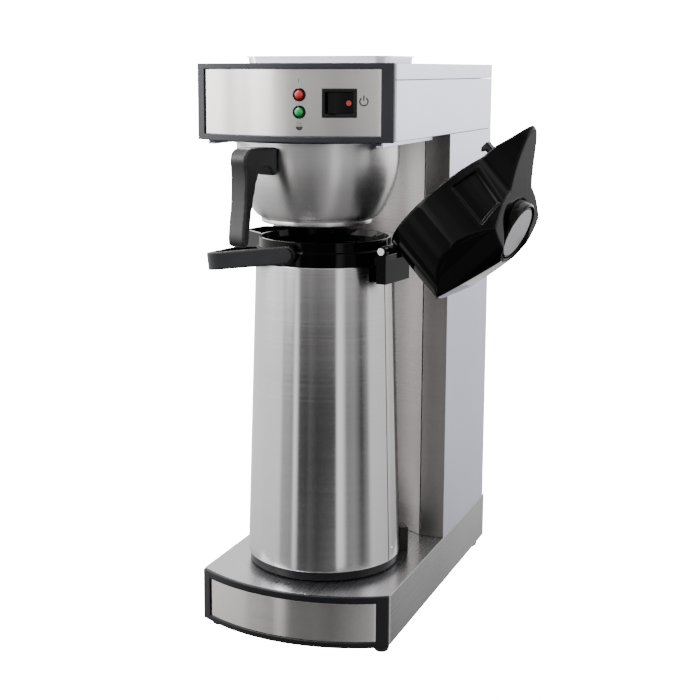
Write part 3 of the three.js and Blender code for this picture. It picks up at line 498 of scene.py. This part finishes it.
def set_world():
    """A white room to the camera, and a studio of soft boxes and dark gaps to everything shiny."""
    world = bpy.data.worlds.new("studio")
    bpy.context.scene.world = world
    world.use_nodes = True
    tree = world.node_tree
    put = tree.nodes.new
    link = tree.links.new
    direction = put("ShaderNodeSeparateXYZ")
    link(put("ShaderNodeTexCoord").outputs["Generated"], direction.inputs[0])
    angle = put("ShaderNodeMath")
    angle.operation = "ARCTAN2"
    link(direction.outputs["Y"], angle.inputs[0])
    link(direction.outputs["X"], angle.inputs[1])
    part = put("ShaderNodeMapRange")
    part.inputs["From Min"].default_value = -math.pi
    part.inputs["From Max"].default_value = math.pi
    link(angle.outputs[0], part.inputs["Value"])
    height = put("ShaderNodeMapRange")
    height.inputs["From Min"].default_value, height.inputs["From Max"].default_value = HORIZON
    link(direction.outputs["Z"], height.inputs["Value"])
    depth = put("ShaderNodeMapRange")
    depth.inputs["From Min"].default_value, depth.inputs["From Max"].default_value = FLOOR_EDGE
    link(direction.outputs["Z"], depth.inputs["Value"])
    lower = put("ShaderNodeMix")
    lower.data_type = "RGBA"
    link(depth.outputs[0], lower.inputs["Factor"])
    link(wall(tree, part.outputs[0], FLOOR_RING), lower.inputs["A"])
    link(wall(tree, part.outputs[0], LOW_WALL), lower.inputs["B"])
    walls = put("ShaderNodeMix")
    walls.data_type = "RGBA"
    link(height.outputs[0], walls.inputs["Factor"])
    link(lower.outputs["Result"], walls.inputs["A"])
    link(wall(tree, part.outputs[0], HIGH_WALL), walls.inputs["B"])
    fade = put("ShaderNodeValToRGB")
    rise = put("ShaderNodeMapRange")
    rise.inputs["From Min"].default_value = -1
    link(direction.outputs["Z"], rise.inputs["Value"])
    link(rise.outputs[0], fade.inputs["Fac"])
    ramp_stops(fade, BY_HEIGHT)
    shade = put("ShaderNodeMix")
    shade.data_type = "RGBA"
    shade.blend_type = "MULTIPLY"
    shade.inputs["Factor"].default_value = 1
    link(walls.outputs["Result"], shade.inputs["A"])
    link(fade.outputs["Color"], shade.inputs["B"])
    room = tree.nodes["Background"]
    link(shade.outputs["Result"], room.inputs["Color"])
    room.inputs["Strength"].default_value = WALL_TOP
    white = put("ShaderNodeBackground")
    white.inputs["Strength"].default_value = ROOM_WHITE
    choose = put("ShaderNodeMixShader")
    link(put("ShaderNodeLightPath").outputs["Is Camera Ray"], choose.inputs["Fac"])
    link(room.outputs[0], choose.inputs[1])
    link(white.outputs[0], choose.inputs[2])
    link(choose.outputs[0], tree.nodes["World Output"].inputs["Surface"])


def set_stage():
    set_world()
    soft_box("key_left", (-1.7, -1.5, 1.4), (0, 0, 0.3), (0.7, 1.2), 22)
    soft_box("strip_above", (-0.55, -0.85, 1.9), (0.05, -0.05, 0.4), (0.10, 1.3), 26)
    soft_box("side_right", (2.0, 0.1, 1.3), (0, 0, 0.35), (1.0, 1.2), 6)

    n = Nodes("floor_white")
    cloud = n.noise(n.place((3, 3, 3)))
    n.link(n.colours(cloud, (0.88, 0.88, 0.88), (0.90, 0.90, 0.90)), n.shader.inputs["Base Color"])
    n.set(Roughness=0.7, Emission_Color=(1, 1, 1, 1), Emission_Strength=20)
    work = bmesh.new()
    reach = 30      # metres each way, so that its edge comes close under the horizon
    corners = [(-reach, -reach, 0), (reach, -reach, 0), (reach, reach, 0), (-reach, reach, 0)]
    work.faces.new([work.verts.new(corner) for corner in corners])
    mesh = bpy.data.meshes.new("floor")
    work.to_mesh(mesh)
    work.free()
    floor = new_object("floor", mesh)
    floor.data.materials.append(n.material)
    floor.visible_glossy = False
    floor.visible_diffuse = False


# ---------------------------------------------------------------- machine

def build_machine():
    for node in ("base_shell", "base_bottom_plate"):
        eased(node, "deck", "frame", 0.8 if node == "base_shell" else 0.3)
    for node in ("head_housing", "head_top_cover"):
        eased(node, "casing", "frame", 0.6)
    for node in ("tower_side_left", "tower_side_right"):
        side = eased(node, "casing", "frame", 0.6)
        # Faces that look straight forward take the darker flange steel: painted shade on that step.
        side.data.materials.append(M["flange"])
        for face in side.data.polygons:
            face.material_index = 1 if face.normal.y < -0.9 else 0
    for node in ("head_bottom_pan", "funnel_rail_left", "funnel_rail_right", "rear_cover"):
        eased(node, "casing", "frame", 0.25)
    # Darker steel on the tower front: painted shade in the recess below the head.
    eased("tower_front_panel", "tower", "frame", 0.25, sharp_degrees=50)
    build_fronts()
    eased("fill_basin", "bright", "frame", 0.3)
    for node in ("pot_guide", "switch_frame"):
        eased(node, "black", "frame", 0.5)
    for node in ("red_lamp_ring", "green_lamp_ring"):
        eased(node, "gloss", "frame", 0.2)
    for corner in ("front_left", "front_right", "rear_left", "rear_right"):
        eased("foot_" + corner, "rubber", "frame", 0.4)
    dressings = {
        "mains_inlet": "black", "terminal_block": "ceramic", "basin_strainer": "bright", "red_lamp": "red",
        "green_lamp": "green", "water_tank": "bright", "tank_lid": "bright", "heating_element": "copper",
        "thermostat": "black", "fill_tube": "silicone", "outlet_tube": "silicone", "spray_head": "bright",
        "filter_basket": "bright", "airpot_liner": "bright", "pump_tube": "silicone", "tube_holder": "gloss",
        "hinge_pin": "bright", "lid_underside": "gloss", "air_bellows": "rubber", "button_spring": "bright",
        "switch_lens": "red",
    }
    for node, material in dressings.items():
        dressed(node, material)
    eased("switch_rocker", "gloss", "rocker", 0.5)


def build_fronts():
    """The moulded surrounds and the brushed plates set into them, at base and head."""
    surrounds = {
        "base_bezel": (9.5, 61.3, (88.9, 15.2, 54.5), "black"),
        "head_bezel": (495.4, 567.5, (89.2, 501.2, 562.2), "bezel"),
    }
    for node, (low, high, window, material) in surrounds.items():
        obj = bowed_sheet(node + "_moulded", 98.9, low, high, 0.3, 4.3, window)
        finish_piece(smooth(round_edges(obj, 0.7), 50), material, "frame", [node])
    base = bowed_sheet("base_front_plate_brushed", 88.6, 15.5, 54.2, 1.2, 2.8)
    finish_piece(smooth(round_edges(base, 0.3, 2), 40), "panel", "frame", ["base_front_plate"])
    panel = bowed_sheet("control_panel_brushed", 88.9, 501.5, 561.9, 1.2, 2.8)
    round_edges(panel, 0.3, 2)
    without(panel, front_plug(53.8, 531.6, 14.6, 11.7), front_plug(17.4, 539, 4.8, 4.8, 48),
            front_plug(17.4, 523.4, 4.8, 4.8, 48))
    finish_piece(smooth(panel, 40), "panel", "frame", ["control_panel"])


def build_funnel():
    wall = [(57.5, 419.8), (60.2, 421.4), (63.8, 425.6), (67.4, 432), (71.5, 441), (75.2, 450), (77.7, 458.6),
            (79.2, 467), (80, 476), (80, 487), (80, 492.9), (86, 492.9), (86, 494.1), (78.8, 494.1)]
    inside = [(78.8, 476.2), (76.5, 458.8), (70.3, 441.2), (65.8, 431.2), (60.6, 423.2), (53.5, 415.4)]
    foot = [(4.5, 415.4), (4.5, 408.5), (6.5, 408.5), (6.5, 413.6), (53.5, 413.6), (55.4, 414.4), (56, 416),
            (55.7, 418), (55.4, 419)]
    profile = [(r * MM, z * MM) for r, z in foot + wall + inside]
    bowl = turned("funnel_bowl_spun", profile, FUNNEL)
    smooth(bowl, 40)
    finish_piece(bowl, "bowl", "funnel", ["funnel_bowl"])
    handle = rounded_melt("funnel_handle", "funnel_handle_moulded", 0.8, 34)
    finish_piece(handle, "handle", "funnel", ["funnel_handle"])


def build_airpot():
    low, high = POT_LOW * MM, POT_HIGH * MM
    bottom, top, skin = POT_LOW_RADIUS * MM, POT_HIGH_RADIUS * MM, 1 * MM
    lip = 0.8 * MM
    profile = [(bottom - skin, low), (bottom - 0.4 * MM, low), (bottom, low + lip),
               (top + 0.02 * MM, high - lip), (top - 0.3 * MM, high), (top - skin, high)]
    body = turned("airpot_body_brushed", profile, POT, 192)
    smooth(body, 50)
    finish_piece(body, "pot", "airpot", ["airpot_body"])
    for node, material, edge in (("airpot_base_ring", "black", 0.6), ("airpot_collar", "gloss", 0.5),
                                 ("hinge_bracket", "gloss", 0.5), ("bail_pin_front", "black", 0.4),
                                 ("bail_pin_rear", "black", 0.4)):
        eased(node, material, "airpot", edge)
    bail = rounded_melt("bail_handle", "bail_moulded", 0.7, 6)
    finish_piece(bail, "black", "bail", ["bail_handle"])


# The lid turns about a point HINGE_REACH mm from the airpot's axis, along the way the airpot is turned.
HINGE_REACH = 77
HINGE = Vector((CENTRE_X + 76.25064 * MM, CORNER_Y + 67.28367 * MM, 389 * MM))
LID_OPEN = math.radians(137)
LID_OUT = -(POT_ALONG * math.cos(LID_OPEN)) + Vector((0, 0, math.sin(LID_OPEN)))
LID_UP = POT_ALONG * math.sin(LID_OPEN) + Vector((0, 0, math.cos(LID_OPEN)))


def in_lid(point):
    """A point as distance out from the hinge, sideways, and up from the rim, all in mm."""
    offset = point - HINGE
    return Vector((offset.dot(LID_OUT), offset.dot(POT_ACROSS), offset.dot(LID_UP))) / MM


def press_recesses(shell):
    """The four-sided finger recess in each side of the lid's round body, with a fine raised rim."""
    depth, slope = 3.2, 1.8
    rim, rim_width = 0.35, 2.4
    nearest, furthest, lowest, highest = 109.5, 132.5, 9, 53
    inner_wall = 64
    for vertex in shell.data.vertices:
        out, aside, up = in_lid(vertex.co)
        radius = math.hypot(out - HINGE_REACH, aside)
        inside = min(out - nearest, furthest - 0.06 * (up - 10) - out, up - lowest,
                     highest - 0.33 * (out - 111) - up)
        if inside <= -rim_width or abs(aside) < 30 or radius < inner_wall:
            continue
        if inside < 0:
            push = rim * math.sin(math.pi * -inside / rim_width)
        else:
            push = -depth * min(1, inside / slope)
        outward = LID_OUT * (out - HINGE_REACH) + POT_ACROSS * aside
        vertex.co += outward.normalized() * push * MM
    relax = shell.modifiers.new("relax", "SMOOTH")
    relax.iterations = 6
    applied(shell)


def build_lid():
    shell = rounded_melt("lid_shell", "lid_moulded", 0.7, 50)
    press_recesses(shell)
    finish_piece(shell, "gloss", "lid", ["lid_shell"])
    eased("lid_latch", "gloss", "lid", 0.6)
    eased("button_ring", "gloss", "lid", 0.4)
    eased("push_button", "gloss", "button", 0.4)
    eased("button_disc", "disc", "button", 0.35)


def curved_patch(name, start_degrees, end_degrees, low, high, under_mm, over_mm, columns=12):
    """A closed strip lying up the airpot's tapered side, between two angles and two heights."""
    work = bmesh.new()
    taper = (POT_HIGH_RADIUS - POT_LOW_RADIUS) / (POT_HIGH - POT_LOW)
    layers = []
    for offset in (under_mm, over_mm):
        layer = []
        for z in (low, high):
            radius = (POT_LOW_RADIUS + taper * (z - POT_LOW) + offset) * MM
            row = []
            for i in range(columns + 1):
                angle = math.radians(start_degrees + (end_degrees - start_degrees) * i / columns) + POT_TURN
                row.append(work.verts.new((POT.x + radius * math.cos(angle), POT.y + radius * math.sin(angle),
                                           z * MM)))
            layer.append(row)
        layers.append(layer)
    (under_low, under_high), (over_low, over_high) = layers
    loops = [(under_low, under_high), (under_high, over_high), (over_high, over_low), (over_low, under_low)]
    for near, far in loops:
        for i in range(columns):
            work.faces.new((near[i], near[i + 1], far[i + 1], far[i]))
    for i in (0, columns):
        work.faces.new((under_low[i], under_high[i], over_high[i], over_low[i]))
    return finished(work, name)


def domed(name, centre, outward, radius_mm, height_mm, slotted=False):
    """A screw or rivet head: a low dome on a plane, facing outward, with a cross slot if asked."""
    work = bmesh.new()
    turn = outward.to_track_quat("Z", "Y").to_matrix().to_4x4()
    place = Matrix.Translation(centre) @ turn
    sides, rows = 32, []
    for radius, height in ((1, -0.2), (1, 0.25), (0.93, 0.55), (0.72, 0.84), (0.42, 0.96)):
        rows.append([work.verts.new(place @ (Vector((
            radius * radius_mm * math.cos(2 * math.pi * i / sides),
            radius * radius_mm * math.sin(2 * math.pi * i / sides), height * height_mm)) * MM))
            for i in range(sides)])
    for low, high in zip(rows, rows[1:]):
        for i in range(sides):
            j = (i + 1) % sides
            work.faces.new((low[i], low[j], high[j], high[i]))
    work.faces.new(rows[0])
    work.faces.new(rows[-1])
    obj = finished(work, name)
    if slotted:
        for turn_degrees in (20, 110):
            bar_mesh = bpy.data.meshes.new("cutter")
            bar = bmesh.new()
            bmesh.ops.create_cube(bar, size=1)
            size = Matrix.Diagonal((radius_mm * 1.2 * MM, 0.5 * MM, height_mm * MM, 1))
            up = Matrix.Translation((0, 0, height_mm * 0.95 * MM))
            bar.transform(place @ Matrix.Rotation(math.radians(turn_degrees), 4, "Z") @ up @ size)
            bar.to_mesh(bar_mesh)
            bar.free()
            without(obj, new_object("cutter", bar_mesh))
    return smooth(obj, 40)


def printed(name, shapes):
    """Flat printed shapes on the bowed control panel, each a ring of (x, z) corners in mm."""
    work = bmesh.new()
    for corners in shapes:
        rings = []
        for lift in (-0.03, 0.05):
            radius = BOW_RADIUS + PLATE_FACE + lift * MM
            rings.append([work.verts.new((CENTRE_X + radius * math.sin(x * MM / radius),
                                          BOW_CENTRE_Y - radius * math.cos(x * MM / radius), z * MM))
                          for x, z in corners])
        work.faces.new(rings[0])
        work.faces.new(rings[1][::-1])
        for i in range(len(corners)):
            j = (i + 1) % len(corners)
            work.faces.new((rings[0][i], rings[1][i], rings[1][j], rings[0][j]))
    return finish_piece(finished(work, name), "ink", "frame")


def arc(x, z, radius, start, end):
    """Points along an arc, between two angles in degrees."""
    steps = 28
    turns = [math.radians(start + (end - start) * i / steps) for i in range(steps + 1)]
    return [(x + radius * math.cos(turn), z + radius * math.sin(turn)) for turn in turns]


def block(x, z, width, height):
    """The corners of an upright rectangle, from its middle and its size."""
    return [(x - width / 2, z - height / 2), (x + width / 2, z - height / 2),
            (x + width / 2, z + height / 2), (x - width / 2, z + height / 2)]


def build_marks():
    """The plain marks printed by the switch and the lamps."""
    x, z = 76.7, 533
    printed("power_mark", [arc(x, z, 4.3, 125, 415) + arc(x, z, 3.2, 415, 125), block(x, z + 3.1, 1.1, 4.6)])
    x, z = 17.4, 510.6
    bowl = arc(x, z - 0.5, 3.3, 180, 360)
    steam = [block(x + step, z + 2.6, 0.5, 1.5) for step in (-1.6, 0, 1.6)]
    printed("brew_mark", [bowl, block(x, z + 0.3, 6.8, 0.4), *steam])
    printed("heat_mark", [block(16.6, 551.8, 0.5, 3.2)])


def build_seam():
    """The seam up the airpot's side, under the hinge, with a painted shadow line beside its strip and the
    rivet at its foot.
    """
    low, high, inset = 72.2, 373, -0.3
    line_start, strip_start, strip_end = -4.75, -4.1, 4.4       # degrees round from the hinge
    strip = curved_patch("airpot_seam_strip", strip_start, strip_end, low, high, inset, 0.3)
    finish_piece(smooth(strip, 40), "pot", "airpot")
    # A thin dark strip in the ink finish beside the seam strip: painted shadow along the strip's edge.
    shadow = curved_patch("airpot_seam_painted_shadow", line_start, strip_start, low, high, inset, 0.06, 2)
    finish_piece(smooth(shadow, 40), "ink", "airpot")
    rivet_height, taper, lift = 83.5, 0.0291, 0.3
    rivet_reach = POT_LOW_RADIUS - taper * 12 + lift
    rivet_place = POT + POT_ALONG * rivet_reach * MM + Vector((0, 0, rivet_height * MM - POT.z))
    rivet = domed("airpot_seam_rivet", rivet_place, POT_ALONG, 1.7, 0.9)
    finish_piece(rivet, "bright", "airpot")


def build_rear_screws():
    """Four cross-slotted screws up each side of the rear cover."""
    low, high = [Vector(corner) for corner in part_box("rear_cover")]
    inset = 7 * MM
    backward = Vector((0, 1, 0))
    for side, x in (("left", low.x + inset), ("right", high.x - inset)):
        for i in range(4):
            z = low.z + inset + (high.z - low.z - 2 * inset) * i / 3
            place = Vector((x, high.y, z))
            screw = domed(f"rear_screw_{side}_{i + 1}", place, backward, 3.2, 1.8, True)
            finish_piece(screw, "bright", "frame")


set_camera()
set_stage()
build_machine()
build_funnel()
build_airpot()
build_lid()
build_marks()
build_seam()
build_rear_screws()

bpy.context.view_layer.update()
